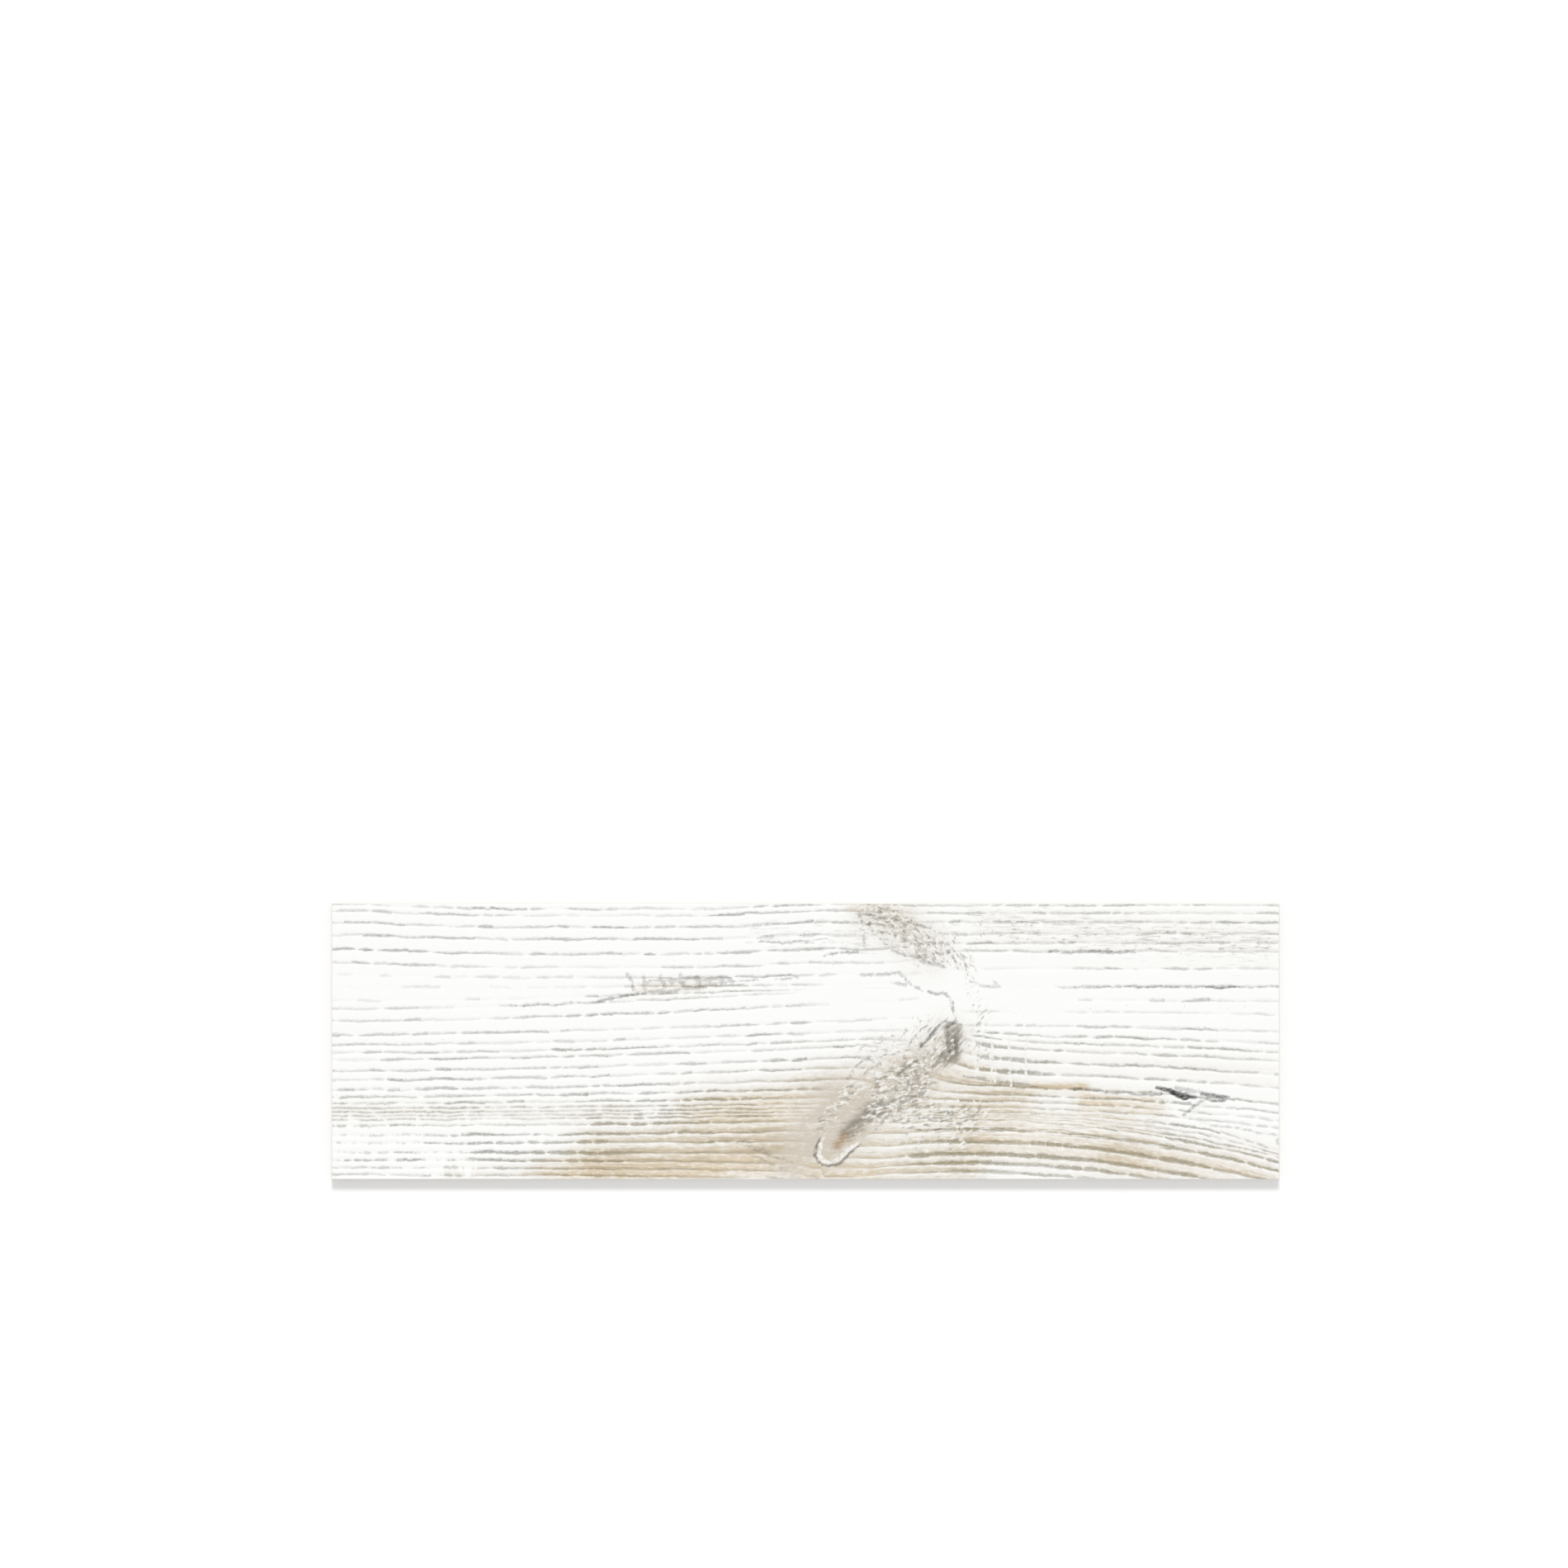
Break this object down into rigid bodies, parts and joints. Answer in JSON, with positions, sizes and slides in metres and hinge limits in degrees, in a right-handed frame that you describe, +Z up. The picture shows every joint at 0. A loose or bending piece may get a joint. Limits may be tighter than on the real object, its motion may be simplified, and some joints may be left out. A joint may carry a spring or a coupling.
{
  "type": "wood-look porcelain tile",
  "caption": "Flat rectangular plank tile with a whitewashed wood-grain face, ground square edges and a keyed back, laid on adhesive as floor or wall covering.",
  "frame": {"origin": "middle of the back, on the plane that its ribs and margin rest on", "axes": "+X along the plank and its grain, +Y across it towards the edge that is uppermost in the picture, +Z up out of the printed face"},
  "size_m": [0.6, 0.175, 0.008],
  "materials": {
    "printed_porcelain": "matte"
  },
  "bodies": {
    "root": {"tile": "printed_porcelain"}
  },
  "joints": []
}
